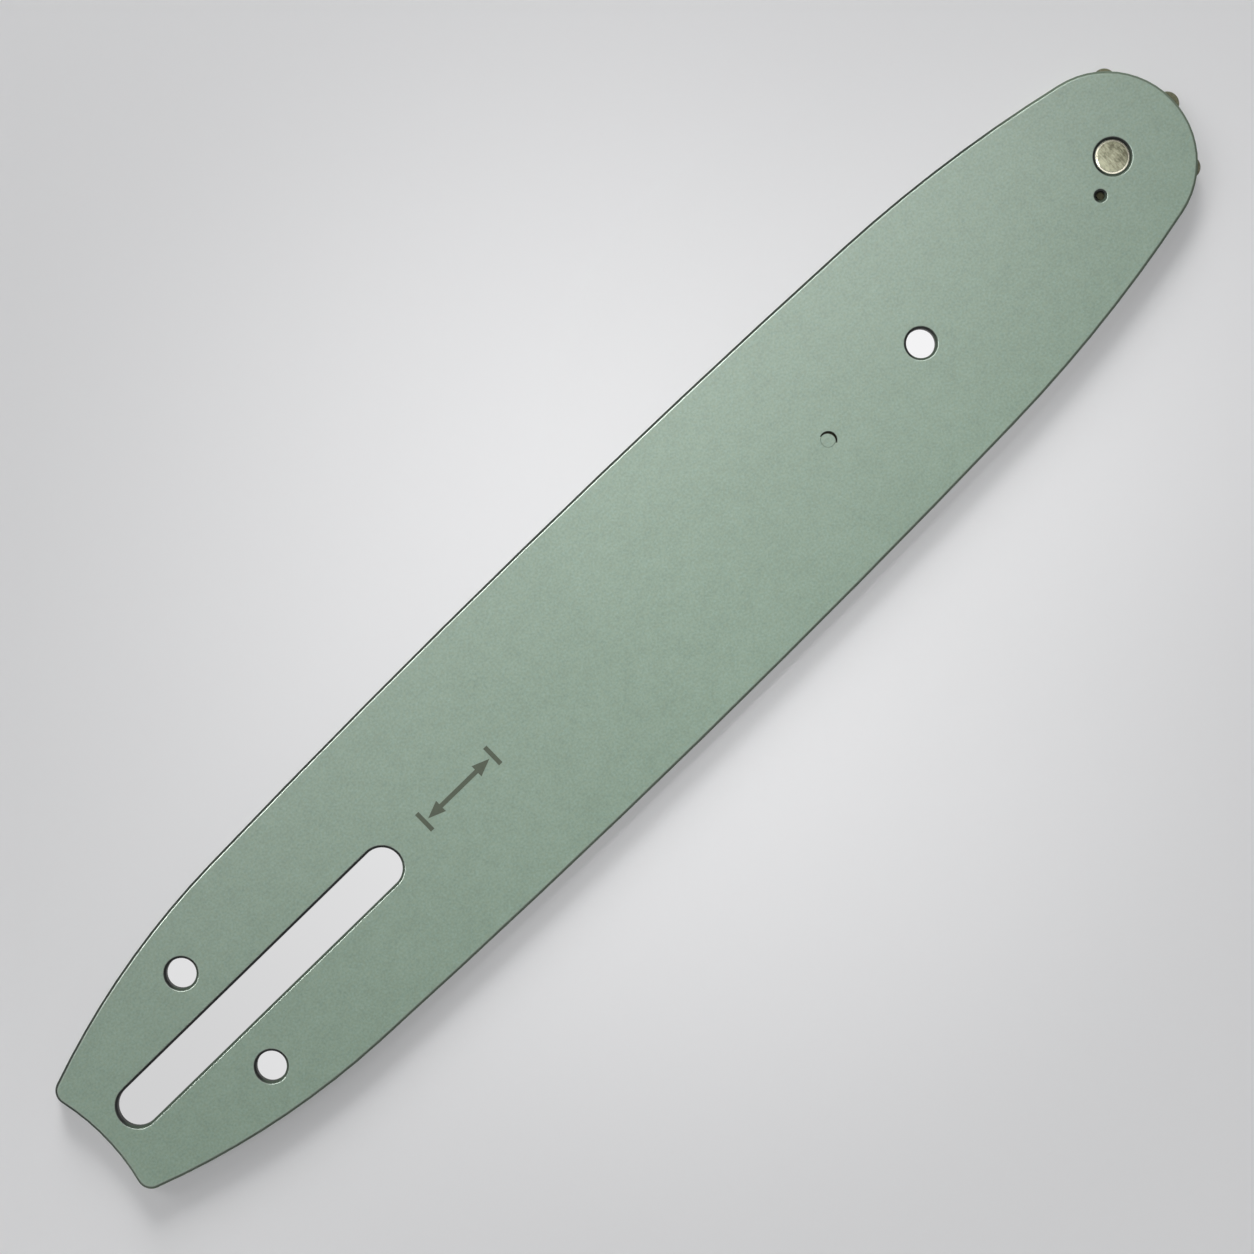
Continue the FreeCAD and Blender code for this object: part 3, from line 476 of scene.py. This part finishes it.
def way_to(heading, elevation):
    turn, rise = math.radians(heading), math.radians(elevation)
    flat = math.cos(rise)
    return Vector((flat * math.cos(turn), flat * math.sin(turn), math.sin(rise)))


def add_window(name, heading, elevation, spread, share, glossy):
    """A wide soft light that gives a floor its share of the level."""
    way = way_to(heading, elevation)
    lamp = new_lamp(name, "SUN", share * math.pi / way.z)
    lamp.data.angle = math.radians(spread)
    lamp.location = way
    lamp.visible_glossy = glossy
    aim(lamp, Vector())


def add_spot(name, over, heading, elevation, away, reach, radius, share):
    """A pool of light on the floor that fades out at its reach."""
    way = way_to(heading, elevation)
    lamp = new_lamp(name, "SPOT", share * (2 * math.pi * away * MM) ** 2 / way.z)
    lamp.data.spot_size = 2 * math.atan(reach / away)
    lamp.data.spot_blend = 1.0
    lamp.data.shadow_soft_size = radius * MM
    middle = Vector((*over, 0)) * MM
    lamp.location = middle + way * away * MM
    lamp.visible_glossy = False
    aim(lamp, middle)


def add_sheen(name, first, last, aside, radiance):
    """A strip light along the bar that only shows as a sheen in its surfaces."""
    length = last - first
    lamp = new_lamp(name, "AREA", radiance * math.pi * length * SHEEN_WIDTH)
    lamp.data.shape = "RECTANGLE"
    lamp.data.size, lamp.data.size_y = length, SHEEN_WIDTH
    lamp.location = ((first + last) / 2, aside, SHEEN_HEIGHT)
    lamp.visible_diffuse = False


def add_sky():
    """An even sky. Glossy rays alone also meet a band and a pale horizon in it."""
    world = bpy.data.worlds.new("studio")
    bpy.context.scene.world = world
    nodes = Nodes(world)
    way = nodes.add("ShaderNodeTexCoord").outputs["Generated"]
    slant = nodes.math("ARCCOSINE", nodes.add("ShaderNodeSeparateXYZ", {0: way}).outputs[2])
    off = nodes.math("ABSOLUTE", nodes.math("SUBTRACT", slant, BAND_SLANT))
    band = nodes.ramp(off, BAND_HALF, BAND_HALF / 2, 0.0, BAND_LEVEL)
    side = nodes.add("ShaderNodeVectorMath", {0: way, 1: BAND_SIDE}, operation="DOT_PRODUCT")
    side = side.outputs["Value"]
    side = nodes.ramp(side, -BAND_SIDE_REACH, BAND_SIDE_REACH, BAND_WEAK, BAND_STRONG)
    band = nodes.math("MULTIPLY", band, side)
    shown = nodes.math("ADD", band, nodes.ramp(slant, PALE_FROM, PALE_TO, 0.0, PALE_LEVEL))
    glossy = nodes.add("ShaderNodeLightPath").outputs["Is Glossy Ray"]
    strength = nodes.math("MULTIPLY_ADD", glossy, shown, SKY_SHARE)
    sky = nodes.add("ShaderNodeBackground", {"Color": rgb(250, 252, 255), "Strength": strength})
    nodes.add("ShaderNodeOutputWorld", {"Surface": sky.outputs[0]})


def add_camera():
    """Straight above, with the picture's right along the photograph's."""
    data = bpy.data.cameras.new("camera")
    field = IMAGE_SIDE_PX / PX_PER_MM * MM
    data.sensor_width = SENSOR
    data.lens = SENSOR * CAMERA_ABOVE_TOP / field
    data.clip_start, data.clip_end = 0.01, 10
    camera = bpy.data.objects.new("camera", data)
    bpy.context.scene.collection.objects.link(camera)
    camera.location = CAMERA_OVER + Vector((0, 0, TOP + CAMERA_ABOVE_TOP))
    camera.rotation_euler = (0, 0, -AXIS_ANGLE)
    bpy.context.scene.camera = camera


dress_bar()
add_print()
add_floor()
add_sky()
for window in WINDOWS:
    add_window(*window)
for spot in SPOTS:
    add_spot(*spot)
for sheen in SHEENS:
    add_sheen(*sheen)
add_camera()
bpy.context.scene.view_settings.view_transform = "Standard"
